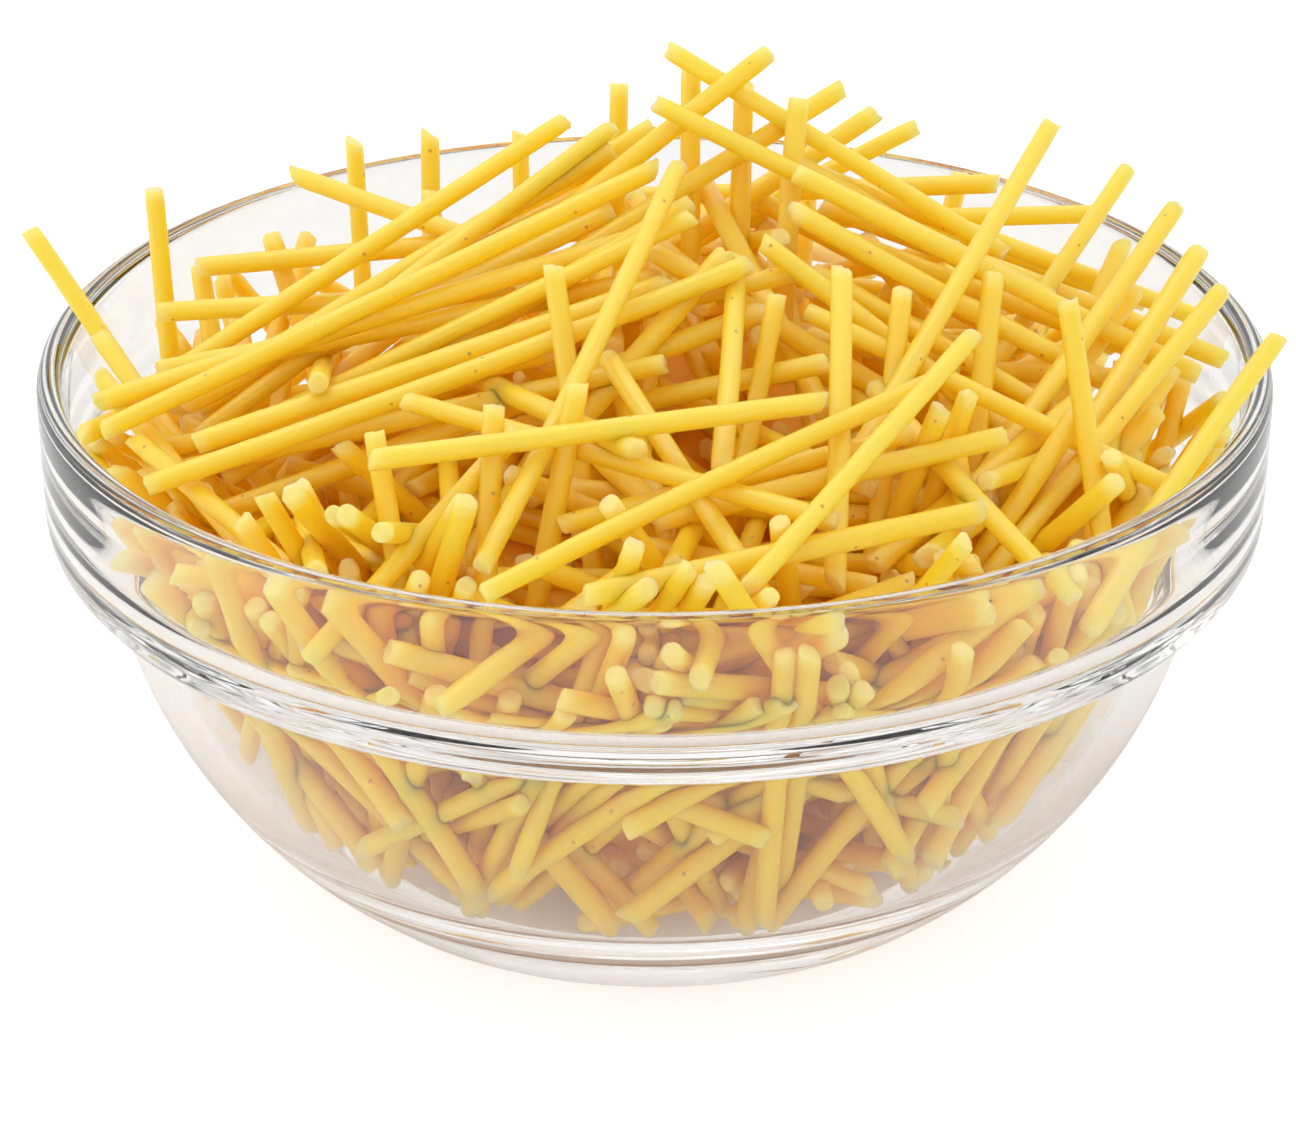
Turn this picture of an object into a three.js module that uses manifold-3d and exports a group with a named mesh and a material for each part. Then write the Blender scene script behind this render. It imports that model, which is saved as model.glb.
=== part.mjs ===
// A stackable glass bowl heaped with broken pieces of dry spaghetti.
// Millimetres, +Z up. The origin is the middle of the flat foot that the bowl
// stands on, and the bowl's axis is +Z. The front of the heap faces -Y.
import * as THREE from "three";
import { mergeVertices } from "three/addons/utils/BufferGeometryUtils.js";
import Module from "manifold-3d";

// ---- Bowl: driving dimensions ---------------------------------------------
const RIM_RADIUS = 52.5; // outside of the stacking band under the lip
const BOWL_HEIGHT = 45.8;
const LIP_RADIUS = 1.1; // the lip is a half-round bead of this radius
const BAND_FACE_BOTTOM = 33.2; // the band's upright face ends here and rounds under
const BAND_BOTTOM = 29.9; // where the rounded underside meets the body
const NECK_RADIUS = 47.8; // outside of the body right under the band
const BODY_SAGITTA = 3.25; // how far the body's outer arc bulges from its chord
const FOOT_RADIUS = 31.3; // flat disc that touches the table
const FOOT_EDGE_RADIUS = 32.4; // where the body's arc meets the foot's rounded edge
const FOOT_EDGE_HEIGHT = 1.05;
const WALL_THICKNESS = 2.5; // glass of the body between the two heights below
const WALL_TOP = 30; // the inside steps out above this height, behind the band
const CORNER_TOP = 11; // the inside rounds into the floor below this height
const SHOULDER_TOP = 36; // where that step ends and the band's upright inside begins
const BAND_DRAFT = 0.4; // how much the band's inside narrows down to the step
const PULL = { ledge: 3.2, wall: 2.2, corner: 4.4, floor: 4.5 }; // how far the inside's
// curves run on along the straight or round stretches that they join
const FLOOR_THICKNESS = 5; // glass under the middle of the cavity
const FLOOR_RADIUS = 27; // the cavity's nearly flat floor
const FLOOR_RISE = 0.4; // how much that floor dishes up towards its edge
const BOWL_SEGMENTS = 60;

// ---- Heap: driving dimensions ---------------------------------------------
const STRAND_RADIUS = 0.875; // dry spaghetti, 1.75 mm thick
const STRAND_SIDES = 6;
const CLEARANCE = 0.35; // gap kept between the heap and the glass
const PEAK = { x: 6, y: 9, z: 59 }; // top of the packed heap
const WALL_LEVEL = 38.5; // mean height where the heap meets the glass
const FRONT_LIFT = 3; // the heap lies this much higher along the front
const HOLLOW = { x: 5, y: -13, radius: 9, depth: 6 }; // dip between the top strands
const BUMP = { height: 0.9, wavelength: 13 }; // unevenness of the packed strands
const HEAP_SEGMENTS = 40;
const HEAP_RINGS = 9;

const GLASS = new THREE.MeshStandardMaterial({
  name: "glass", color: 0xe9efee, roughness: 0.03, metalness: 0,
  transparent: true, opacity: 0.35,
});
const PASTA = new THREE.MeshStandardMaterial({
  name: "pasta", color: 0xe9bd42, roughness: 0.55, metalness: 0,
});

// ---- Helpers ---------------------------------------------------------------
const point = (r, z) => new THREE.Vector2(r, z);
const radians = (degrees) => THREE.MathUtils.degToRad(degrees);

/** Points of an elliptic arc about (cr, cz), angles in degrees from +r. */
function arc(cr, cz, rr, rz, from, to, steps) {
  const points = [];
  for (let i = 0; i <= steps; i++) {
    const angle = radians(from + ((to - from) * i) / steps);
    points.push(point(cr + rr * Math.cos(angle), cz + rz * Math.sin(angle)));
  }
  return points;
}

/** Drops points that repeat the one before, so that arcs can be chained. */
function chain(...runs) {
  return runs.flat().filter((p, i, all) => i === 0 || p.distanceTo(all[i - 1]) > 1e-6);
}

/** Turns a profile of (radius, height) points about +Z. */
function revolve(profile, segments) {
  return new THREE.LatheGeometry(profile, segments).rotateX(Math.PI / 2);
}

const wasm = await Module();
wasm.setup();

/** A manifold solid from a closed three.js geometry. */
function toSolid(geometry) {
  const bare = geometry.clone();
  bare.deleteAttribute("normal");
  bare.deleteAttribute("uv");
  const merged = mergeVertices(bare, 1e-4);
  const vertProperties = new Float32Array(merged.attributes.position.array);
  const triVerts = new Uint32Array(merged.index.array);
  return new wasm.Manifold(new wasm.Mesh({ numProp: 3, vertProperties, triVerts }));
}

/** A three.js geometry from a manifold solid. */
function toGeometry(solid) {
  const mesh = solid.getMesh();
  const geometry = new THREE.BufferGeometry();
  geometry.setAttribute("position", new THREE.BufferAttribute(mesh.vertProperties, 3));
  geometry.setIndex(new THREE.BufferAttribute(mesh.triVerts, 1));
  geometry.computeVertexNormals();
  return geometry;
}

// ---- Glass bowl --------------------------------------------------------------
/** Middle and radius of the circle that the outside of the body lies on. */
function bodyCircle() {
  const low = point(FOOT_EDGE_RADIUS, FOOT_EDGE_HEIGHT);
  const high = point(NECK_RADIUS, BAND_BOTTOM);
  const half = low.distanceTo(high) / 2;
  const radius = (half * half + BODY_SAGITTA ** 2) / (2 * BODY_SAGITTA);
  const along = high.clone().sub(low).normalize();
  const middle = low.clone().add(high).multiplyScalar(0.5);
  middle.addScaledVector(point(-along.y, along.x), radius - BODY_SAGITTA);
  return { middle, radius };
}

/** Points of the body's circle, shrunk by inset, between two heights. */
function bodyArc(inset, fromHeight, toHeight, steps) {
  const { middle, radius } = bodyCircle();
  const shrunk = radius - inset;
  const angle = (height) => THREE.MathUtils.radToDeg(Math.asin((height - middle.y) / shrunk));
  return arc(middle.x, middle.y, shrunk, shrunk, angle(fromHeight), angle(toHeight), steps);
}

/** Outside of the bowl, from the middle of the foot to the top of the band. */
function outerProfile() {
  const foot = [point(0, 0), point(FOOT_RADIUS, 0)];
  const body = bodyArc(0, FOOT_EDGE_HEIGHT, BAND_BOTTOM, 7);
  const overhang = RIM_RADIUS - NECK_RADIUS;
  const drop = BAND_FACE_BOTTOM - BAND_BOTTOM;
  const underside = arc(NECK_RADIUS, BAND_FACE_BOTTOM, overhang, drop, -90, 0, 4);
  return chain(foot, body, underside);
}

/** Half-round lip, from the band's face over the top to the inside. */
function lipProfile(steps) {
  const middle = RIM_RADIUS - LIP_RADIUS;
  return arc(middle, BOWL_HEIGHT - LIP_RADIUS, LIP_RADIUS, LIP_RADIUS, 0, 180, steps);
}

/** Curve that leaves start towards startPull and comes into end from endPull. */
function blend(start, startPull, endPull, end, steps) {
  return new THREE.CubicBezierCurve(start, startPull, endPull, end).getPoints(steps);
}

/** The point a length further up the inside wall's tangent than p. */
function upTheWall(p, length) {
  const out = p.clone().sub(bodyCircle().middle).normalize();
  return p.clone().addScaledVector(point(-out.y, out.x), length);
}

/** Inside of the bowl, from under the lip down the wall to the axis. */
function cavityProfile() {
  const top = point(RIM_RADIUS - 2 * LIP_RADIUS, BOWL_HEIGHT - LIP_RADIUS);
  const ledge = point(top.x - BAND_DRAFT, SHOULDER_TOP);
  const ledgePull = point(ledge.x, ledge.y - PULL.ledge);
  const wall = bodyArc(WALL_THICKNESS, WALL_TOP, CORNER_TOP, 4);
  const shoulder = blend(ledge, ledgePull, upTheWall(wall[0], PULL.wall), wall[0], 4);
  const wallEnd = wall.at(-1);
  const floorEdge = point(FLOOR_RADIUS, FLOOR_THICKNESS + FLOOR_RISE);
  const floorPull = point(floorEdge.x + PULL.floor, floorEdge.y);
  const corner = blend(wallEnd, upTheWall(wallEnd, -PULL.corner), floorPull, floorEdge, 3);
  const floor = [point(FLOOR_RADIUS * 0.5, FLOOR_THICKNESS + 0.05), point(0, FLOOR_THICKNESS)];
  return chain([top], shoulder, wall, corner, floor);
}

function glassBowl() {
  const profile = chain(outerProfile(), lipProfile(6), cavityProfile());
  return new THREE.Mesh(revolve(profile, BOWL_SEGMENTS), GLASS);
}

/** The bowl, grown by the clearance, that is cut from whatever touches it. */
function bowlWithClearance() {
  const grow = CLEARANCE;
  const cavity = cavityProfile().map((p, i, all) => {
    const before = all[Math.max(i - 1, 0)];
    const after = all[Math.min(i + 1, all.length - 1)];
    const along = after.clone().sub(before).normalize();
    return i === all.length - 1 ? point(0, p.y + grow) : point(p.x + along.y * grow, p.y - along.x * grow);
  });
  const middle = RIM_RADIUS - LIP_RADIUS;
  const lip = arc(middle, BOWL_HEIGHT - LIP_RADIUS, LIP_RADIUS + grow, LIP_RADIUS + grow, 0, 180, 6);
  const outside = [point(0, -grow), point(RIM_RADIUS + grow, -grow)];
  return toSolid(revolve(chain(outside, lip, cavity), HEAP_SEGMENTS));
}

// ---- Heap of spaghetti ---------------------------------------------------------
/** Height of the packed heap's surface over a point of the bowl. */
function heapSurface(x, y) {
  const toWall = Math.hypot(x, y) / RIM_RADIUS;
  const level = WALL_LEVEL - (FRONT_LIFT * y) / RIM_RADIUS;
  const spread = Math.hypot(x - PEAK.x * (1 - toWall), y - PEAK.y * (1 - toWall)) / RIM_RADIUS;
  const dome = Math.cos((Math.PI / 2) * Math.min(spread, 1)) ** 2;
  const hollow = Math.exp(-((x - HOLLOW.x) ** 2 + (y - HOLLOW.y) ** 2) / HOLLOW.radius ** 2);
  const wave = (2 * Math.PI) / BUMP.wavelength;
  const bumps = BUMP.height * (Math.sin(wave * x + 1) * Math.cos(wave * y) + Math.sin(wave * (x + y) * 0.7));
  return level + (PEAK.z - level) * dome - HOLLOW.depth * hollow + bumps;
}

/** The packed heap: a round block whose top follows the heap's surface. */
function packedHeap() {
  const reach = RIM_RADIUS - LIP_RADIUS;
  const profile = [point(0, 0), point(reach, 0)];
  for (let i = 0; i <= HEAP_RINGS; i++) profile.push(point(reach * (1 - i / HEAP_RINGS), 1));
  const block = revolve(profile, HEAP_SEGMENTS);
  const position = block.attributes.position;
  for (let i = 0; i < position.count; i++) {
    const [x, y, z] = [position.getX(i), position.getY(i), position.getZ(i)];
    if (z > 0.5) position.setZ(i, heapSurface(x, y));
  }
  return toSolid(block);
}

/** One straight strand between two ends. */
function strand(tail, tip) {
  const along = tip.clone().sub(tail);
  const rod = new THREE.CylinderGeometry(STRAND_RADIUS, STRAND_RADIUS, along.length(), STRAND_SIDES);
  const turn = new THREE.Quaternion().setFromUnitVectors(
    new THREE.Vector3(0, 1, 0), along.clone().normalize());
  const middle = tail.clone().add(tip).multiplyScalar(0.5);
  rod.applyMatrix4(new THREE.Matrix4().compose(middle, turn, new THREE.Vector3(1, 1, 1)));
  return toSolid(rod);
}

/**
 * Bundles of strands that stand clear of the packed heap. A row gives a strand's upper
 * end x, y, z, the heading and the dip in degrees of its run down from there, and the
 * length of that run. A bundle's strands go from its first row to its last in even
 * steps, each off the even spread by SWAY times the bundle's roughness, and the middle
 * of the bundle is raised by its crown.
 */
const SWAY = [1.2, 1.2, 0.8, 5, 3, 4];
const BUNDLES = {
  leftFan: { // long strands side by side from the left rim up to the peak
    count: 8, first: [-7, 17, 58.5, -152, 27, 42], last: [9, -12, 54, -172, 17, 50], crown: 2.2, rough: 1,
  },
  leftRim: { // one leans out over the rim, one stands inside it
    count: 2, first: [-54, 6, 53, -37, 50, 32], last: [-44, 15, 53.5, -75, 80, 22],
  },
  back: { count: 3, first: [-28, 32, 52, -90, 76, 18], last: [-13, 33, 52.5, -86, 78, 16], rough: 0.5 },
  backLeft: { count: 1, first: [-33, 27, 50, -25, 10, 34] },
  backRight: { count: 2, first: [31, 22, 51.5, 176, 4, 30], last: [40, 17, 50.5, 178, 2, 30] },
  peakSlanted: { // short ends that stick out to the right of the peak
    count: 4, first: [11, 11, 67, -165, 32, 24], last: [24, 20, 57, -165, 25, 26], rough: 1,
  },
  peakUpright: {
    count: 4, first: [-2, 18, 62, -90, 78, 14], last: [13, 9, 63.5, -95, 70, 14], crown: 2.5, rough: 1,
  },
  peakCrossing: { count: 2, first: [1, 12, 67, -8, 30, 30], last: [0, 8, 64, -12, 25, 36] },
  tall: { count: 1, first: [34, 8, 62, -119, 24, 42] },
  rightSlope: { // strands that run down from the peak to the right
    count: 5, first: [14, 11, 56.5, -4, 23, 36], last: [10, -6, 56, -17, 29, 32], crown: 3, rough: 1,
  },
  longFront: { count: 1, first: [2, 0, 61, -111, 24, 46] },
  frontUpright: { count: 1, first: [15, -15, 58, -93, 38, 24] },
  frontSlanted: { // strands that cross the front of the heap under the peak
    count: 2, first: [25, -22, 55, -128, 22, 30], last: [22, -23, 51, -148, 11, 42],
  },
  frontFlat: { count: 2, first: [-20, -21, 49, -27, 6, 34], last: [25, -35, 46, -160, 7, 28] },
  frontEnds: { // short ends that stand just inside the near wall
    count: 6, first: [-29, -32, 47.5, 30, 62, 14], last: [6, -44, 47, 130, 68, 12], crown: 1, rough: 1,
  },
  rightRim: { // strands that lean out over the right side of the rim
    count: 5, first: [42, 12, 56, -126, 30, 30], last: [50.5, -10, 50, -125, 24, 26], rough: 0.7,
  },
  rightEnds: { count: 2, first: [34, -20, 48, -140, 45, 14], last: [37, -28, 45, 160, 45, 12] },
};

/** The strands of one bundle. */
function bundleStrands({ count, first, last = first, crown = 0, rough = 0 }) {
  return Array.from({ length: count }, (_, i) => {
    const t = count > 1 ? i / (count - 1) : 0;
    const sway = (k) => rough * SWAY[k] * Math.sin(2.4 * i + 4.1 * k + first[0]);
    const row = first.map((value, k) => value + (last[k] - value) * t + sway(k));
    row[2] += crown * 4 * t * (1 - t);
    return freeStrand(row);
  });
}

/** A strand from its row. */
function freeStrand([x, y, z, heading, dip, length]) {
  const flat = Math.cos(radians(dip));
  const down = new THREE.Vector3(
    flat * Math.cos(radians(heading)), flat * Math.sin(radians(heading)), -Math.sin(radians(dip)));
  const tip = new THREE.Vector3(x, y, z);
  return strand(tip.clone().addScaledVector(down, length), tip);
}

function spaghettiHeap() {
  const strands = Object.values(BUNDLES).flatMap(bundleStrands);
  const heap = strands.reduce((sum, piece) => sum.add(piece), packedHeap());
  return new THREE.Mesh(toGeometry(heap.subtract(bowlWithClearance())), PASTA);
}

// ---- The part ------------------------------------------------------------------
const part = new THREE.Group();
const bowl = glassBowl();
bowl.name = "glass_bowl";
const heap = spaghettiHeap();
heap.name = "spaghetti_heap";
part.add(bowl, heap);

export default part;
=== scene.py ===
"""A clear glass bowl heaped with short broken pieces of dry spaghetti.

The bowl is turned from its profile. Every strand is a real rod: the ones that
make up the top of the heap are placed one by one, the rest are strewn at random,
and all of them are then pushed off each other and off the glass, round by
round. Lengths are in millimetres until the meshes are made.
"""

import math

import bpy
import numpy as np
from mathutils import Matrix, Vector


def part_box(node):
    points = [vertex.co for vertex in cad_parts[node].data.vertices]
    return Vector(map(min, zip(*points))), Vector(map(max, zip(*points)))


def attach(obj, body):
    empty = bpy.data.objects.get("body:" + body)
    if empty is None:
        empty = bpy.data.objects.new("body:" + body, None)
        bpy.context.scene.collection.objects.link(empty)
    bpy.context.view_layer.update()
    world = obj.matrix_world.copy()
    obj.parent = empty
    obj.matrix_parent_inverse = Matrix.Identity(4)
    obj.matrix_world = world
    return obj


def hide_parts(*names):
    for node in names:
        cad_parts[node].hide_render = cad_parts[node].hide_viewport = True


MM = 0.001
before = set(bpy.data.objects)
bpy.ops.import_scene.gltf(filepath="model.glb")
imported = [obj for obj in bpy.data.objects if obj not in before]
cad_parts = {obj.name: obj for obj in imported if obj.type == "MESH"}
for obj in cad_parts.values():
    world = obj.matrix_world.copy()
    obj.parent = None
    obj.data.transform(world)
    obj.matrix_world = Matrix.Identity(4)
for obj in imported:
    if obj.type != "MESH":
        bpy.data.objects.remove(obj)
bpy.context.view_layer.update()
rng = np.random.default_rng(11)

# ---- Sizes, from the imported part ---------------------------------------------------
bowl_low, bowl_high = (np.array(c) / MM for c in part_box("glass_bowl"))
RIM = (bowl_high[0] - bowl_low[0]) / 2
HEIGHT = bowl_high[2]
SCALE = RIM / 52.5
LIP = 1.1 * SCALE
BAND_FACE_BOTTOM, BAND_BOTTOM = 33.2 * SCALE, 29.9 * SCALE
NECK, BODY_SAGITTA = 47.8 * SCALE, 3.25 * SCALE
FOOT, FOOT_EDGE, FOOT_EDGE_HEIGHT = 31.3 * SCALE, 32.4 * SCALE, 1.05 * SCALE
WALL_THICKNESS, WALL_TOP, CORNER_TOP = 2.5 * SCALE, 30.0 * SCALE, 11.0 * SCALE
SHOULDER_TOP, BAND_DRAFT = 36.0 * SCALE, 0.4 * SCALE
FLOOR_THICKNESS, FLOOR_RADIUS, FLOOR_RISE = 5.0 * SCALE, 27.0 * SCALE, 0.4 * SCALE
STRAND, STRAND_SPREAD, STRAND_LIMITS = 0.875 * SCALE, 0.04, (0.78, 0.97)

# How far the cavity's curves run straight on from their ends.
BAND_PULL, LEDGE_PULL, SHOULDER_PULL, CORNER_PULL, FLOOR_PULL = 3, 3.2, 2.2, -4.4, 4.5
# The dished floor: share of its radius, and how far it lies under its edge.
DISH = ((0.75, 0.24), (0.5, 0.34))

# How many strands are strewn, how many of them by the wall and by the floor, and the
# rounds of pushing apart.
STREWN, AT_WALL, AT_FLOOR = 650, 180, 110
ROUNDS, QUICK_ROUNDS = 320, 60


# ---- Meshes ------------------------------------------------------------------------
def add_object(name, verts, faces, surface):
    mesh = bpy.data.meshes.new(name)
    mesh.from_pydata([tuple(v) for v in np.array(verts) * MM], [], faces)
    mesh.shade_smooth()
    mesh.materials.append(surface)
    obj = bpy.data.objects.new(name, mesh)
    bpy.context.scene.collection.objects.link(obj)
    return obj


def circle(count):
    angle = np.linspace(0, 2 * math.pi, count, endpoint=False)
    return np.stack([np.cos(angle), np.sin(angle)], 1)


def skinned(name, first, rings, last, surface):
    """A closed mesh over rings of points, between a first and a last point."""
    count, around = rings.shape[:2]
    final = 2 + (count - 1) * around
    faces = []
    for j in range(around):
        k = (j + 1) % around
        faces += [(0, 2 + k, 2 + j), (1, final + j, final + k)]
    for a in range(2, final, around):
        b = a + around
        for j in range(around):
            k = (j + 1) % around
            faces.append((a + j, a + k, b + k, b + j))
    return add_object(name, np.vstack([[first, last], rings.reshape(-1, 3)]), faces, surface)


# ---- Bowl profile ------------------------------------------------------------------
def arc(cr, cz, rr, rz, start, stop, steps):
    angles = np.radians(np.linspace(start, stop, steps + 1))
    return np.stack([cr + rr * np.cos(angles), cz + rz * np.sin(angles)], 1)


def bezier(p0, p1, p2, p3, steps):
    t = np.linspace(0, 1, steps + 1)[:, None]
    p0, p1, p2, p3 = (np.array(p, float) for p in (p0, p1, p2, p3))
    return (1 - t) ** 3 * p0 + 3 * (1 - t) ** 2 * t * p1 + 3 * (1 - t) * t * t * p2 + t**3 * p3


def body_circle():
    """Middle and radius of the circle that the outside of the body lies on."""
    low, high = np.array([FOOT_EDGE, FOOT_EDGE_HEIGHT]), np.array([NECK, BAND_BOTTOM])
    half = np.linalg.norm(high - low) / 2
    radius = (half**2 + BODY_SAGITTA**2) / (2 * BODY_SAGITTA)
    along = (high - low) / (2 * half)
    return (low + high) / 2 + np.array([-along[1], along[0]]) * (radius - BODY_SAGITTA), radius


def body_arc(inset, from_height, to_height, steps):
    """The body's circle, shrunk by inset, between two heights."""
    middle, radius = body_circle()
    shrunk = radius - inset
    heights = (from_height, to_height)
    start, stop = (math.degrees(math.asin((z - middle[1]) / shrunk)) for z in heights)
    return arc(*middle, shrunk, shrunk, start, stop, steps)


def up_the_wall(p, length):
    """A point further up the wall's tangent, or down it where the length is negative."""
    out = p - body_circle()[0]
    return p + np.array([-out[1], out[0]]) / np.linalg.norm(out) * length * SCALE


def cavity(steps):
    """Inside of the bowl, from under the lip to the axis. It runs at an even wall
    thickness down the band, round its shoulder and down the body, then turns in
    a rounded corner to the dished floor."""
    top = np.array([RIM - 2 * LIP, HEIGHT - LIP])
    ledge = np.array([top[0] - BAND_DRAFT, SHOULDER_TOP])
    edge = np.array([FLOOR_RADIUS, FLOOR_THICKNESS + FLOOR_RISE])
    wall = body_arc(WALL_THICKNESS, WALL_TOP, CORNER_TOP, steps)
    band = bezier(
        top, top - (0, BAND_PULL * SCALE), ledge + (0, BAND_PULL * SCALE), ledge, steps // 2
    )
    shoulder = bezier(
        ledge, ledge - (0, LEDGE_PULL * SCALE), up_the_wall(wall[0], SHOULDER_PULL), wall[0], steps
    )
    corner = bezier(
        wall[-1], up_the_wall(wall[-1], CORNER_PULL), edge + (FLOOR_PULL * SCALE, 0), edge, steps
    )
    floor = [(edge[0] * share, edge[1] - drop) for share, drop in DISH] + [(0, FLOOR_THICKNESS)]
    return np.vstack([band, shoulder[1:], wall[1:], corner[1:], floor])


def lip(steps):
    return arc(RIM - LIP, HEIGHT - LIP, LIP, LIP, 0, 180, steps)


def without_doubles(points, gap=1e-5):
    steps = np.linalg.norm(np.diff(points, axis=0), axis=1)
    return points[np.concatenate([[True], steps > gap])]


def soften(points, spacing, passes):
    """Evenly spaced points along the profile, with its corners eased. The two ends stay."""
    steps = np.linalg.norm(np.diff(points, axis=0), axis=1)
    at = np.concatenate([[0], np.cumsum(steps)])
    even = np.linspace(0, at[-1], int(at[-1] / spacing) + 1)
    out = np.stack([np.interp(even, at, points[:, k]) for k in (0, 1)], 1)
    for _ in range(passes):
        out[1:-1] += 0.25 * (out[:-2] + out[2:] - 2 * out[1:-1])
    return out


def bowl_profile():
    foot = np.array([(0, 0), (FOOT, 0)])
    body = body_arc(0, FOOT_EDGE_HEIGHT, BAND_BOTTOM, 60)
    under = arc(NECK, BAND_FACE_BOTTOM, RIM - NECK, BAND_FACE_BOTTOM - BAND_BOTTOM, -90, 0, 24)
    outline = np.vstack([foot, body, under, lip(24), cavity(40)])
    return soften(without_doubles(outline), spacing=0.4, passes=6)


def turned(name, profile, segments, surface):
    """A closed mesh from a profile that starts and ends on the axis."""
    rings = np.zeros((len(profile) - 2, segments, 3))
    rings[..., :2] = profile[1:-1, 0, None, None] * circle(segments)
    rings[..., 2] = profile[1:-1, 1, None]
    first, last = ((0, 0, z) for z in profile[[0, -1], 1])
    return skinned(name, first, rings, last, surface)


# ---- Strands placed in bundles -----------------------------------------------------
# A row is a strand's upper end x, y, z, the heading and the dip in degrees of its run
# down from there, and the length of that run. A bundle is its count, its first row, its
# last row, how far its middle is raised, and how far its strands sway off even steps.
SWAY, SWAY_STEP, SWAY_PHASE = np.array([1.2, 1.2, 0.8, 5, 3, 4]), 2.4, 4.1
BUNDLES = {
    "left fan": (8, (-7, 17, 58.5, -152, 27, 44), (9, -12, 54, -172, 17, 52), 2.2, 1),
    "under the fan": (5, (-5, 14, 55, -156, 22, 42), (2, -14, 50, -176, 10, 44), 2, 1),
    "leaning over the left rim": (2, (-54, 6, 53, -37, 50, 34), (-44, 15, 53.5, -75, 80, 28), 0, 0),
    "left, rising inwards": (4, (-42, 18, 46, 3, -2, 40), (-43, -12, 41, -4, -16, 40), 0, 1),
    "left, falling forwards": (3, (-48, 0, 46, -51, 28, 34), (-44, -13, 42, -52, 12, 32), 0, 0.5),
    "left inside the wall": (2, (-27, -16, 47, 95, 12, 34), (-42, 20, 44, -80, 60, 26), 0, 0),
    "back": (3, (-28, 32, 52, -90, 76, 26), (-13, 33, 52.5, -86, 78, 28), 0, 0.5),
    "back left": (1, (-33, 27, 50, -25, 10, 38), None, 0, 0),
    "back, hidden": (5, (-36, 22, 47, -60, 62, 26), (30, 32, 48, -120, 66, 28), 3, 1),
    "back right": (2, (31, 22, 51.5, 176, 4, 34), (40, 17, 50.5, 178, 2, 34), 0, 0),
    "peak, slanted": (4, (11, 11, 67, -165, 32, 30), (24, 20, 57, -165, 25, 32), 0, 1),
    "peak, upright": (4, (-2, 18, 62, -90, 78, 26), (13, 9, 63.5, -95, 70, 26), 2.5, 1),
    "peak, crossing": (2, (1, 12, 67, -8, 30, 34), (0, 8, 64, -12, 25, 38), 0, 0),
    "tall": (1, (34, 8, 62, -119, 24, 44), None, 0, 0),
    "right slope": (5, (14, 11, 56.5, -4, 23, 36), (10, -6, 56, -17, 29, 32), 3, 1),
    "under the right slope": (5, (16, 14, 54, 0, 18, 34), (14, -10, 51, -24, 22, 32), 2, 1),
    "middle, steep": (3, (11, -12, 54, -100, 50, 26), (28, -7, 54, -100, 50, 26), 0, 1),
    "middle, flat": (3, (12, -6, 54, -172, 14, 26), (0, -5, 56, -20, 25, 25), 0, 0.5),
    "middle, left": (2, (6, -7, 56, -140, 34, 24), (-8, -12, 57, -72, 58, 26), 0, 0),
    "long front": (1, (2, 0, 61, -111, 24, 46), None, 0, 0),
    "front upright": (1, (15, -15, 58, -93, 38, 28), None, 0, 0),
    "front slanted": (2, (25, -22, 55, -128, 22, 31), (22, -23, 51, -148, 11, 42), 0, 0),
    "front flat": (2, (-20, -21, 49, -27, 6, 38), (25, -35, 46, -160, 7, 32), 0, 0),
    "front, low": (3, (13, -26, 50, -171, 6, 34), (28, -23, 47, -158, 4, 28), -1, 0.5),
    "front, falling": (2, (-4, -17, 51, -67, 19, 30), (-11, -28, 49, -133, 28, 24), 0, 0),
    "ends, front left": (6, (-31, -32, 45.5, 45, 68, 28), (-21, -39, 44, 80, 25, 30), 1.5, 1),
    "ends, front": (3, (-21, -30, 50, -75, 60, 24), (-6, -26, 53, -120, 62, 28), 0, 0.6),
    "ends at the near wall": (4, (-1, -45, 46.5, 150, 68, 30), (8, -46, 44, 110, 45, 28), 0.5, 0.4),
    "ends, pair": (2, (-14, -38, 48.5, 145, 72, 28), (-16, -37, 47, 140, 62, 28), 0, 0),
    "ends, near right": (3, (-4, -38, 48, 20, 60, 26), (23, -41, 46, 140, 60, 26), 0, 0.5),
    "right rim": (5, (42, 12, 56, -126, 30, 34), (50.5, -10, 50, -125, 24, 34), 0, 0.7),
    "right rim, under": (4, (41, 9, 51, -120, 34, 32), (43, -14, 44.5, -140, 34, 28), 0, 1),
    "ends, right": (4, (34, -20, 48, -140, 45, 26), (37, -28, 45, 160, 45, 26), 0, 0.5),
    "ends, middle right": (2, (25, -23, 50, 180, 75, 26), (22.5, -25, 50, 170, 75, 26), 0, 0),
}


def placed_rods():
    rows = []
    for count, one, other, crown, rough in BUNDLES.values():
        one, other = np.array(one, float), np.array(other or one, float)
        for i in range(count):
            t = i / max(count - 1, 1)
            sway = rough * SWAY * np.sin(SWAY_STEP * i + SWAY_PHASE * np.arange(6) + one[0])
            row = one + (other - one) * t + sway
            row[2] += crown * 4 * t * (1 - t)
            rows.append(row)
    rows = np.array(rows)
    heading, dip = np.radians(rows[:, 3]), np.radians(rows[:, 4])
    flat = np.cos(dip)
    down = np.stack([np.cos(heading) * flat, np.sin(heading) * flat, -np.sin(dip)], 1)
    tips = rows[:, :3] * SCALE
    return tips, tips + down * rows[:, 5:6] * SCALE


# ---- Strewn strands ----------------------------------------------------------------
# The heap's level at the wall, its fall towards the back, the top of its dome, where
# that stands, and the hollow in front of it.
EDGE_LEVEL, EDGE_FALL, DOME_TOP, DOME_X, DOME_Y = 38.5, 3, 59, 6, 9
HOLLOW_X, HOLLOW_Y, HOLLOW_DEPTH, HOLLOW_SPREAD = 5, -13, 6, 9
# Lengths of strands anywhere, by the wall and by the floor.
LENGTHS, WALL_LENGTHS, FLOOR_LENGTHS = (18, 54), (30, 52), (18, 40)
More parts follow.
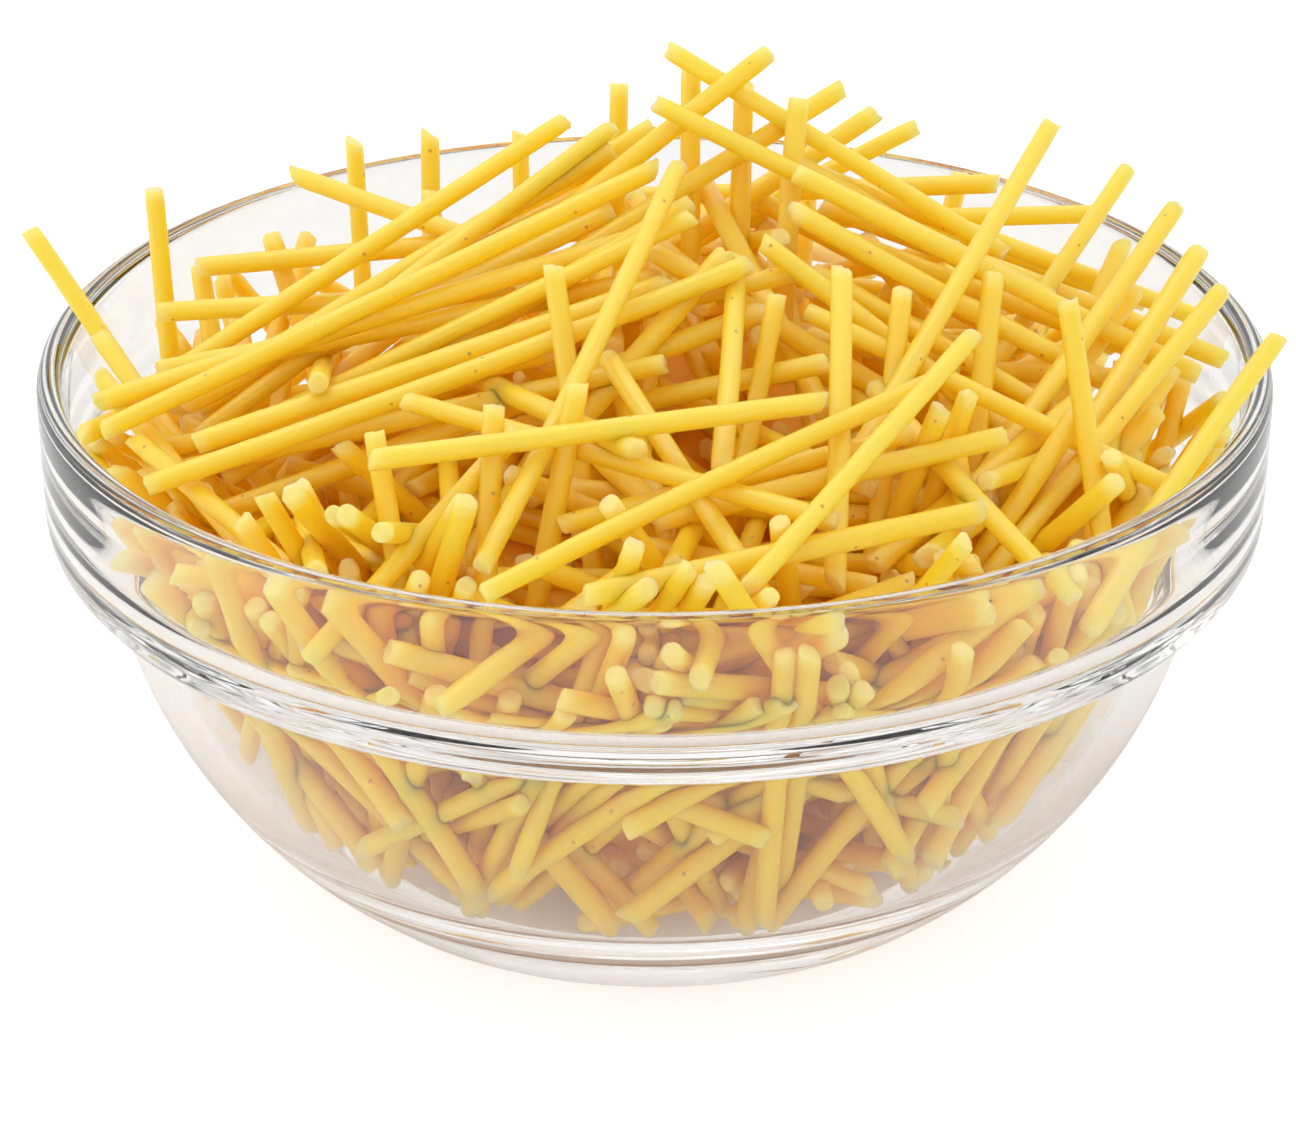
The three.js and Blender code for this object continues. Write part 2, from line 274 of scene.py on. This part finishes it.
# Their middles: height by the wall, depth off it, height and radius by the floor.
WALL_HIGHEST, OFF_WALL, FLOOR_HIGHEST, FLOOR_RADII = 36, (1, 5), 11, (12, 32)
HEAP_HIGHEST, HEAP_RADIUS = 60, 50
# Turn off upright or off the tangent by the wall, and turn and rise by the floor.
WALL_TURN, FLOOR_TURN, FLOOR_TILT = 0.55, 0.6, 0.15
# Rise of the others in degrees: the share of flat ones, and both kinds' spread.
FLAT_SHARE, FLAT_RISE, STEEP_RISE, MOST_RISE = 0.6, 26, 55, 85
# No ends of the others show through the glass between these heights, this near to it.
NO_ENDS, NO_ENDS_DEPTH = (14, 36), 4.5
# The core takes the place of strands this deep inside.
DEEP_SHARE, DEEP_FLOOR, DEEP_TOP = 0.6, 8, 15

WALL = cavity(12)[:-3]


def wall_radius(z):
    return np.interp(z, WALL[::-1, 1], WALL[::-1, 0])


def heap_top(x, y):
    """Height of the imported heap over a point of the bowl."""
    to_wall = np.hypot(x, y) / RIM
    level = (EDGE_LEVEL - EDGE_FALL * y / RIM) * SCALE
    dome_x, dome_y = (c * SCALE * (1 - to_wall) for c in (DOME_X, DOME_Y))
    spread = np.hypot(x - dome_x, y - dome_y) / RIM
    dome = np.cos(np.pi / 2 * np.minimum(spread, 1)) ** 2
    hollow = np.exp(-((x - HOLLOW_X) ** 2 + (y - HOLLOW_Y) ** 2) / HOLLOW_SPREAD**2)
    return level + (DOME_TOP * SCALE - level) * dome - HOLLOW_DEPTH * hollow


def direction(heading, rise):
    flat = math.cos(rise)
    return np.array([math.cos(heading) * flat, math.sin(heading) * flat, math.sin(rise)])


def inside(point, over):
    """Whether a point is in the bowl, and not higher than this over the heap's top."""
    x, y, z = point
    in_bowl = z > FLOOR_THICKNESS + 0.6 and math.hypot(x, y) < wall_radius(z) + 0.5
    return in_bowl and z < heap_top(x, y) + over


def is_deep(middle, radius):
    low, high = FLOOR_THICKNESS + DEEP_FLOOR, heap_top(*middle[:2]) - DEEP_TOP
    return radius < DEEP_SHARE * wall_radius(middle[2]) and low < middle[2] < high


def shows_in_glass(end):
    low, high = NO_ENDS
    near = math.hypot(end[0], end[1]) > wall_radius(end[2]) - NO_ENDS_DEPTH
    return low < end[2] < high and near


def strewn_rods(count, at_wall, at_floor):
    """Rods inside the heap: the first ones lie against the glass, the next ones low
    down, and the rest start anywhere."""
    starts, ends = [], []
    while len(starts) < count:
        length, around = rng.uniform(*LENGTHS), rng.uniform(0, 2 * math.pi)
        turn = rng.uniform(0, 2 * math.pi)
        if len(starts) < at_wall:
            length = rng.uniform(*WALL_LENGTHS)
            z = rng.uniform(FLOOR_THICKNESS + 3, WALL_HIGHEST)
            radius = wall_radius(z) - rng.uniform(*OFF_WALL)
            slope = math.atan2(wall_radius(z + 1) - wall_radius(z - 1), 2)
            up = direction(around, math.pi / 2 - slope)
            side = np.array([-math.sin(around), math.cos(around), 0])
            turn = rng.normal(math.pi / 2, WALL_TURN)
            along = math.cos(turn) * side + math.sin(turn) * up
            begin = -rng.uniform(0.2, 0.8) * length
        elif len(starts) < at_wall + at_floor:
            length = rng.uniform(*FLOOR_LENGTHS)
            z = rng.uniform(FLOOR_THICKNESS + 1, FLOOR_HIGHEST)
            radius = rng.uniform(*FLOOR_RADII)
            turn = around + rng.normal(math.pi / 2, FLOOR_TURN)
            along, begin = direction(turn, rng.normal(0, FLOOR_TILT)), -length / 2
        else:
            z = rng.uniform(FLOOR_THICKNESS + 1, HEAP_HIGHEST)
            radius = HEAP_RADIUS * math.sqrt(rng.random())
            spread = FLAT_RISE if rng.random() < FLAT_SHARE else STEEP_RISE
            rise = math.radians(np.clip(rng.normal(0, spread), -MOST_RISE, MOST_RISE))
            along, begin = direction(turn, rise), 0.0
        middle = np.array([radius * math.cos(around), radius * math.sin(around), z])
        if is_deep(middle, radius) or not inside(middle, -0.5):
            continue
        pair = (middle + along * begin, middle + along * (begin + length))
        if len(starts) >= at_wall and any(shows_in_glass(end) for end in pair):
            continue
        if all(inside(end, 2.0) for end in pair):
            starts.append(pair[0])
            ends.append(pair[1])
    return np.array(starts), np.array(ends)


# ---- Pushing the strands apart -----------------------------------------------------
# The bowl's inside and lip, the points tested along each rod, the gap kept off the
# glass, the most that one point moves, and how much of a push each point passes on.
GLASS_LINE = np.vstack([cavity(10)[::-1], lip(8)[::-1][1:]])
ALONG, GLASS_GAP, MOST_PUSH, PASSED_ON = 15, 0.1, 1.5, 1.6
# How far the strewn rods sink in all, and the passes that clear the glass at the end.
FALL, LAST_PASSES = 3.0, 30
# Rods grow from the first share of their thickness, by the second over all rounds.
FIRST_SIZE, GROWTH = 0.45, 0.9
# Rounds between looks for neighbours, and the reach of the rough and the fine look.
LOOK_EVERY, ROUGH_REACH, FINE_REACH = 8, 4, 2.5
# How far placed rods give way, and how hard they are held in place: early, and late.
PLACED_GIVE, HOLD, LATE_HOLD, LATE = 0.35, 0.12, 0.04, 0.75
EASE = 0.8
TINY = 1e-6


def nearest(p1, q1, p2, q2):
    """Closest points of two sets of segments: share along each, and the gap between."""
    d1, d2, r = q1 - p1, q2 - p2, p1 - p2
    a, e, f = (d1 * d1).sum(1), (d2 * d2).sum(1), (d2 * r).sum(1)
    c, b = (d1 * r).sum(1), (d1 * d2).sum(1)
    den = a * e - b * b
    s = np.where(den > 1e-9 * a * e, np.clip((b * f - c * e) / np.maximum(den, 1e-12), 0, 1), 0.5)
    t = (b * s + f) / e
    held = np.clip(t, 0, 1)
    s = np.where(t != held, np.clip((b * held - c) / a, 0, 1), s)
    return s, held, p1 + d1 * s[:, None] - (p2 + d2 * held[:, None])


def out_of_glass(points, radius):
    """How far each point moves to keep its radius clear of the bowl."""
    r = np.hypot(points[:, 0], points[:, 1])
    q = np.stack([r, points[:, 2]], 1)
    a, b = GLASS_LINE[:-1], GLASS_LINE[1:]
    d = b - a
    t = np.clip(((q[:, None] - a) * d).sum(2) / (d * d).sum(1), 0, 1)
    v = q[:, None] - (a + t[..., None] * d)
    k, i = (v * v).sum(2).argmin(1), np.arange(len(q))
    v = v[i, k]
    gap = np.sqrt((v * v).sum(1))
    normal = np.stack([-d[:, 1], d[:, 0]], 1)[k] / np.linalg.norm(d, axis=1)[k, None]
    signed = np.where((v * normal).sum(1) >= 0, gap, -gap)
    way = np.where(gap[:, None] > TINY, v / np.maximum(signed, TINY)[:, None], normal)
    way = np.where((signed < 0)[:, None], -v / np.maximum(gap, TINY)[:, None], way)
    push = np.clip(radius - signed, 0, MOST_PUSH)
    push = np.where((r > RIM) & (points[:, 2] < HEIGHT - LIP), 0, push)
    out = np.zeros_like(points)
    out[:, :2] = points[:, :2] / np.maximum(r, TINY)[:, None] * (way[:, 0] * push)[:, None]
    out[:, 2] = way[:, 1] * push
    return out, push


def clear_of_glass(a, b, radius):
    """Moves the rods off the bowl, by points along each of them."""
    share = np.linspace(0, 1, ALONG)[:, None]
    points = a[:, None] * (1 - share) + b[:, None] * share
    out, push = out_of_glass(points.reshape(-1, 3), np.repeat(radius, ALONG) + GLASS_GAP)
    touching = (push.reshape(-1, ALONG) > 0).sum(1)
    out = out.reshape(-1, ALONG, 3) * (PASSED_ON / np.maximum(touching, 1))[:, None, None]
    a += (out * (1 - share)).sum(1)
    b += (out * share).sum(1)


def added(index, values, size):
    return np.stack([np.bincount(index, values[:, k], size) for k in range(3)], 1)


def neighbours(a, b, length, radius, iu, ju):
    """The pairs of rods near enough to touch before the next look."""
    middle, half = (a + b) / 2, length / 2
    near = np.abs(middle[iu] - middle[ju]).max(1) < half[iu] + half[ju] + ROUGH_REACH
    i, j = iu[near], ju[near]
    gap = nearest(a[i], b[i], a[j], b[j])[2]
    near = (gap * gap).sum(1) < (radius[i] + radius[j] + FINE_REACH) ** 2
    return i[near], j[near]


def push_apart(a, b, pi, pj, grown, give):
    """One push on the ends of every pair of rods that overlap."""
    n = len(a)
    s, t, gap = nearest(a[pi], b[pi], a[pj], b[pj])
    dist = np.sqrt((gap * gap).sum(1))
    over = grown[pi] + grown[pj] - dist
    hit = over > 0
    i, j, s, t, dist, over = pi[hit], pj[hit], s[hit], t[hit], dist[hit], over[hit]
    wi, wj = ((1 - s) ** 2 + s**2) * give[i], ((1 - t) ** 2 + t**2) * give[j]
    push = gap[hit] / np.maximum(dist, TINY)[:, None] * (over / (wi + wj))[:, None]
    contacts = np.bincount(i, minlength=n) + np.bincount(j, minlength=n)
    crowd = np.sqrt(np.maximum(contacts, 1))[:, None]
    for ends, mine, other in ((a, 1 - s, 1 - t), (b, s, t)):
        move = added(i, push * (mine * give[i])[:, None], n)
        move -= added(j, push * (other * give[j])[:, None], n)
        ends += EASE * move / crowd


def settle(a, b, radius, placed, rounds):
    """Moves the rods' ends until the rods hardly cut into each other."""
    length = np.linalg.norm(b - a, axis=1)
    a, b, a0, b0 = a.copy(), b.copy(), a.copy(), b.copy()
    give = np.where(placed, PLACED_GIVE, 1.0)
    fall = FALL / rounds * (give == 1)
    iu, ju = np.triu_indices(len(a), 1)
    for step in range(rounds):
        done = step / rounds
        if step % LOOK_EVERY == 0:
            pi, pj = neighbours(a, b, length, radius, iu, ju)
        push_apart(a, b, pi, pj, radius * min(1, FIRST_SIZE + GROWTH * done), give)
        clear_of_glass(a, b, radius)
        a[:, 2] -= fall
        b[:, 2] -= fall
        hold = np.where(placed, HOLD if done < LATE else LATE_HOLD, 0)[:, None]
        a += (a0 - a) * hold
        b += (b0 - b) * hold * 0.5
        along = b - a
        now = np.linalg.norm(along, axis=1)
        along *= ((now - length) / (2 * now))[:, None]
        a += along
        b -= along
    for _ in range(LAST_PASSES):
        clear_of_glass(a, b, radius)
    return a, b


# ---- Strand meshes -----------------------------------------------------------------
# Sides of a rod, how far in the second ring lies, the rim's and the cap's width, and
# the spread of the bow and of the thickness along a rod.
SIDES, SECOND_RING, RIM_WIDTH, CAP_WIDTH, BOW, UNEVEN = 14, 1.3, 0.95, 0.62, 0.0045, 0.012
# Breaks, as shares of the radius: slants of square and slanted ones, the share of
# square ones, how rough the rim, cap and middle are, and how far the middle stands out.
SQUARE, SLANTED, SQUARE_SHARE = (0.05, 0.35), (0.4, 0.9), 0.75
RIM_ROUGH, CAP_ROUGH, MIDDLE_ROUGH, STANDING_OUT = 0.07, 0.06, 0.05, (-0.25, 0.35)
# Tones of the strands, and how pale their rims and caps are. Painted shade: a strand's tone is
# scaled by its height between the limits, so low strands are darker.
TONES, PAINTED_SHADE_HEIGHT, PAINTED_SHADE_LIMITS = (0.40, 0.62), 40 * SCALE, (0.3, 1.3)
RIM_PALE, CAP_PALE = 0.5, 0.8


def rod_mesh(name, a, b, radius, surface):
    """All rods as one mesh: round sides with a slight bow, and broken ends."""
    verts, faces, tone_and_shade, broken = [], [], [], []
    for p, q, r in zip(a, b, radius):
        length = np.linalg.norm(q - p)
        axis = (q - p) / length
        side = np.cross(axis, (0, 0, 1) if abs(axis[2]) < 0.9 else (1, 0, 0))
        side /= np.linalg.norm(side)
        up = np.cross(side, axis)
        turn = rng.uniform(0, 2 * math.pi)
        bow = (side * math.cos(turn) + up * math.sin(turn)) * rng.normal(0, BOW) * length
        angle = np.linspace(0, 2 * math.pi, SIDES, endpoint=False) + rng.uniform(0, 1)
        ring = np.outer(np.cos(angle), side) + np.outer(np.sin(angle), up)
        # Painted shade: the random tone is scaled by the strand's height, darker low in the bowl
        # and lighter near the top.
        height_shade = np.clip((p[2] + q[2]) / 2 / PAINTED_SHADE_HEIGHT, *PAINTED_SHADE_LIMITS)
        shade = rng.uniform(*TONES) * height_shade
        slants = []
        for _ in range(2):
            tilt = rng.uniform(*(SQUARE if rng.random() < SQUARE_SHARE else SLANTED)) * r
            phase = rng.uniform(0, 2 * math.pi)
            rough = rng.normal(0, RIM_ROUGH * r, SIDES)
            slants.append(tilt * np.cos(angle - phase) + rough)
        base = len(verts)
        second = SECOND_RING / length
        marks = [0, second, 0.25, 0.5, 0.75, 1 - second, 1]
        for mark in marks:
            centre = p + (q - p) * mark + bow * (4 * mark * (1 - mark))
            rows = ring * r * (1 + rng.normal(0, UNEVEN))
            at_end = mark in (0, 1)
            if at_end:
                rows = rows * RIM_WIDTH + np.outer(slants[mark], axis)
            verts.extend(centre + rows)
            broken.extend([RIM_PALE * at_end] * SIDES)
        last_ring = base + (len(marks) - 1) * SIDES
        for u in range(base, last_ring, SIDES):
            v = u + SIDES
            for j in range(SIDES):
                k = (j + 1) % SIDES
                faces.append((u + j, u + k, v + k, v + j))
        for centre, slant, rim, sign in ((p, slants[0], base, -1), (q, slants[1], last_ring, 1)):
            cap = len(verts)
            lift = rng.uniform(*STANDING_OUT) * r * sign
            rough = rng.normal(0, CAP_ROUGH * r, SIDES)
            cap_shift = slant * CAP_WIDTH + lift * 0.7 + rough
            verts.extend(centre + ring * r * CAP_WIDTH + np.outer(cap_shift, axis))
            verts.append(centre + axis * (lift + rng.normal(0, MIDDLE_ROUGH * r)))
            broken.extend([CAP_PALE] * (SIDES + 1))
            for j in range(SIDES):
                k = (j + 1) % SIDES
                for face in (
                    (rim + j, cap + j, cap + k, rim + k), (cap + j, cap + SIDES, cap + k)
                ):
                    faces.append(face if sign < 0 else face[:1] + face[:0:-1])
        tone_and_shade.extend([shade] * (len(verts) - base))
    rods = add_object(name, verts, faces, surface)
    for label, values in (("tone_and_shade", tone_and_shade), ("broken", broken)):
        layer = rods.data.attributes.new(label, "FLOAT", "POINT")
        layer.data.foreach_set("value", np.array(values, np.float32))
    return rods


# The core: its bottom, the height where its sides end, its share of the wall's radius
# and the most it may be, and how far its top lies under the heap's.
CORE_BOTTOM, CORE_SHOULDER = FLOOR_THICKNESS + 2, 32
CORE_SHARE, CORE_RADIUS, CORE_DEPTH = 0.74, 31, 16


def heap_core(surface):
    """A smooth lump inside the strands, so that no light shows right through the heap."""
    steps, crown, ring = 24, 8, circle(72)
    rings = []
    for t in np.linspace(0, 1, steps + 1):
        z = CORE_BOTTOM + (CORE_SHOULDER - CORE_BOTTOM) * t
        radius = min(wall_radius(z) * CORE_SHARE, CORE_RADIUS)
        radius *= math.sin(math.pi / 2 * min(1, 0.75 + 1.3 * t))
        rings.append(np.column_stack([ring * radius, np.full(len(ring), z)]))
    for i in range(1, crown):
        x, y = (ring * radius * (1 - i / crown)).T
        rise = (heap_top(x, y) - CORE_DEPTH - z) * math.sin(math.pi / 2 * min(1, 2 * i / crown))
        rings.append(np.stack([x, y, z + rise], 1))
    top = (0, 0, heap_top(0, 0) - CORE_DEPTH)
    return skinned("heap_core", (0, 0, CORE_BOTTOM), np.array(rings), top, surface)


# ---- Materials ---------------------------------------------------------------------
def material(name):
    mat = bpy.data.materials.new(name)
    mat.use_nodes = True
    tree = mat.node_tree
    return mat, tree, tree.nodes["Principled BSDF"], tree.nodes["Material Output"]


def link(tree, source, target):
    tree.links.new(source, target)


def put(node, values):
    for label, value in values.items():
        node.inputs[label].default_value = value


def glass_material():
    """Clear glass that lets light and shadows straight through to what it holds."""
    mat, tree, shader, output = material("clear_glass")
    put(shader, {
        "Base Color": (0.985, 0.99, 0.985, 1), "Transmission Weight": 1,
        "Roughness": 0.0, "IOR": 1.5,
    })
    path = tree.nodes.new("ShaderNodeLightPath")
    either = tree.nodes.new("ShaderNodeMath")
    either.operation = "MAXIMUM"
    link(tree, path.outputs["Is Shadow Ray"], either.inputs[0])
    link(tree, path.outputs["Is Diffuse Ray"], either.inputs[1])
    clear = tree.nodes.new("ShaderNodeBsdfTransparent")
    put(clear, {"Color": (0.97, 0.975, 0.97, 1)})
    mix = tree.nodes.new("ShaderNodeMixShader")
    link(tree, either.outputs[0], mix.inputs[0])
    link(tree, shader.outputs[0], mix.inputs[1])
    link(tree, clear.outputs[0], mix.inputs[2])
    link(tree, mix.outputs[0], output.inputs["Surface"])
    return mat


def attribute(tree, name):
    node = tree.nodes.new("ShaderNodeAttribute")
    node.attribute_name = name
    return node.outputs["Fac"]


def ramp(tree, factor, stops):
    node = tree.nodes.new("ShaderNodeValToRGB")
    cells = node.color_ramp.elements
    while len(cells) < len(stops):
        cells.new(0.5)
    for cell, (at, colour) in zip(cells, stops):
        cell.position = at
        cell.color = (*colour, 1)
    link(tree, factor, node.inputs[0])
    return node.outputs[0]


def mixed(tree, factor, first, second):
    node = tree.nodes.new("ShaderNodeMix")
    node.data_type = "RGBA"
    sockets = (node.inputs[0], node.inputs[6], node.inputs[7])
    for socket, value in zip(sockets, (factor, first, second)):
        if isinstance(value, bpy.types.NodeSocket):
            link(tree, value, socket)
        else:
            socket.default_value = value if isinstance(value, float) else (*value, 1)
    return node.outputs[2]


def pasta_material():
    """Amber pasta that light soaks into, with brown specks, pale breaks and fine grain. Its colour
    follows each strand's tone, which also carries painted shade: low strands are darker.
    """
    mat, tree, shader, _ = material("dry_pasta")
    put(shader, {
        "Roughness": 0.42, "IOR": 1.5, "Specular IOR Level": 0.8,
        "Subsurface Weight": 0.9, "Subsurface Radius": (1.0, 1.0, 0.8),
        "Subsurface Scale": 3.2 * MM,
    })
    place = tree.nodes.new("ShaderNodeTexCoord")
    # The tone layer holds each strand's random tone times painted shade by height.
    body = ramp(tree, attribute(tree, "tone_and_shade"), [
        (0.0, (0.985, 0.42, 0.002)), (0.5, (0.99, 0.575, 0.008)), (1.0, (0.99, 0.65, 0.03)),
    ])
    speck = tree.nodes.new("ShaderNodeTexVoronoi")
    put(speck, {"Scale": 420})
    dots = tree.nodes.new("ShaderNodeMapRange")
    put(dots, {"From Min": 0.055, "From Max": 0.085, "To Min": 0.75, "To Max": 0.0})
    link(tree, place.outputs["Object"], speck.inputs["Vector"])
    link(tree, speck.outputs["Distance"], dots.inputs["Value"])
    pale = mixed(tree, attribute(tree, "broken"), body, (0.99, 0.66, 0.16))
    shown = mixed(tree, dots.outputs[0], pale, (0.42, 0.16, 0.03))
    link(tree, shown, shader.inputs["Base Color"])
    grain = tree.nodes.new("ShaderNodeTexNoise")
    put(grain, {"Scale": 1500, "Detail": 3})
    link(tree, place.outputs["Object"], grain.inputs["Vector"])
    bump = tree.nodes.new("ShaderNodeBump")
    put(bump, {"Strength": 0.25, "Distance": 0.05 * MM})
    link(tree, grain.outputs["Fac"], bump.inputs["Height"])
    link(tree, bump.outputs[0], shader.inputs["Normal"])
    return mat


def plain_material(name, colour, roughness):
    mat, _, shader, _ = material(name)
    put(shader, {"Base Color": (*colour, 1), "Roughness": roughness})
    return mat


# ---- The object --------------------------------------------------------------------
bowl = turned("clear_glass_bowl", bowl_profile(), 288, glass_material())
bowl.data.validate()

tips, tails = placed_rods()
starts, stops = strewn_rods(STREWN, AT_WALL, AT_FLOOR)
placed = np.arange(len(tips) + len(starts)) < len(tips)
rod_radius = np.clip(rng.normal(STRAND, STRAND_SPREAD, len(placed)), *STRAND_LIMITS)
rounds = ROUNDS
first, last = settle(
    np.vstack([tips, starts]), np.vstack([tails, stops]), rod_radius, placed, rounds
)
strands = rod_mesh("broken_spaghetti", first, last, rod_radius, pasta_material())

# The core stands for the deep strands; its colour is deeper than theirs, painted shade for the
# heap's gaps.
core = heap_core(plain_material("core_pasta", (0.90, 0.46, 0.01), 0.6))

for piece, node, slot in (
    (bowl, "glass_bowl", "glass"),
    (strands, "spaghetti_heap", "pasta"),
    (core, "spaghetti_heap", "pasta"),
):
    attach(piece, "root")
    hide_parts(node)


# ---- Studio ------------------------------------------------------------------------
def floor_material():
    """A white table. The camera sees its shadows lifted towards white, the glass doesn't."""
    mat = plain_material("floor_white", (0.87, 0.88, 0.88), 0.9)
    tree = mat.node_tree
    shader = tree.nodes["Principled BSDF"]
    put(shader, {"Emission Color": (1, 1, 1, 1)})
    path, lift = tree.nodes.new("ShaderNodeLightPath"), tree.nodes.new("ShaderNodeMath")
    lift.operation = "MULTIPLY"
    lift.inputs[1].default_value = 0.55
    link(tree, path.outputs["Is Camera Ray"], lift.inputs[0])
    link(tree, lift.outputs[0], shader.inputs["Emission Strength"])
    return mat


bpy.ops.mesh.primitive_plane_add(size=12, location=(0, 0, -0.3 * MM))
floor = bpy.context.object
floor.name = "studio_floor"
floor.data.materials.append(floor_material())


def softbox(name, place, aim, size, power):
    lamp = bpy.data.lights.new(name, "AREA")
    lamp.shape = "RECTANGLE"
    lamp.size, lamp.size_y = size
    lamp.energy = power
    obj = bpy.data.objects.new(name, lamp)
    obj.location = place
    obj.rotation_euler = (Vector(aim) - Vector(place)).to_track_quat("-Z", "Y").to_euler()
    bpy.context.scene.collection.objects.link(obj)


softbox("top_light", (-0.15, 0.15, 0.8), (0, 0, 0.03), (0.45, 0.35), 0.8)
softbox("left_light", (-0.7, -0.2, 0.35), (0, 0, 0.03), (0.35, 0.5), 0.4)


def studio_world():
    """White all round. What the glass mirrors is dimmer on the front side of the room."""
    world = bpy.data.worlds.new("studio")
    world.use_nodes = True
    tree = world.node_tree
    way = tree.nodes.new("ShaderNodeTexCoord")
    split = tree.nodes.new("ShaderNodeSeparateXYZ")
    link(tree, way.outputs["Generated"], split.inputs[0])
    shade = tree.nodes.new("ShaderNodeMapRange")
    shade.interpolation_type = "SMOOTHSTEP"
    put(shade, {"From Min": -0.7, "From Max": 0.2, "To Min": 0.45, "To Max": 1.0})
    link(tree, split.outputs["Y"], shade.inputs["Value"])
    path = tree.nodes.new("ShaderNodeLightPath")
    white = shade.outputs["Result"]
    for kind, level in (("Is Diffuse Ray", 1.0), ("Is Camera Ray", 1.05)):
        choice = tree.nodes.new("ShaderNodeMix")
        link(tree, path.outputs[kind], choice.inputs["Factor"])
        link(tree, white, choice.inputs["A"])
        choice.inputs["B"].default_value = level
        white = choice.outputs["Result"]
    link(tree, white, tree.nodes["Background"].inputs["Color"])
    return world


scene = bpy.context.scene
scene.world = studio_world()
scene.view_settings.view_transform = "Standard"
scene.view_settings.look = "None"
scene.view_settings.gamma = 1.2
scene.cycles.use_adaptive_sampling = True
scene.cycles.adaptive_threshold = 0.1
scene.cycles.adaptive_min_samples = 12
scene.cycles.max_bounces = 20
scene.cycles.transmission_bounces = 14
scene.cycles.glossy_bounces = 16
scene.cycles.diffuse_bounces = 7
scene.cycles.transparent_max_bounces = 12

# ---- Camera ------------------------------------------------------------------------
CAMERA_PLACE = (-0.57 * MM, -288.5 * MM, 167.2 * MM)
CAMERA_DIP, CAMERA_LENS = 26.41, 101.4

lens = bpy.data.cameras.new("camera")
lens.lens = CAMERA_LENS
lens.sensor_width = 36
camera = bpy.data.objects.new("camera", lens)
camera.location = CAMERA_PLACE
camera.rotation_euler = (math.radians(90 - CAMERA_DIP), 0, 0)
bpy.context.scene.collection.objects.link(camera)
bpy.context.scene.camera = camera
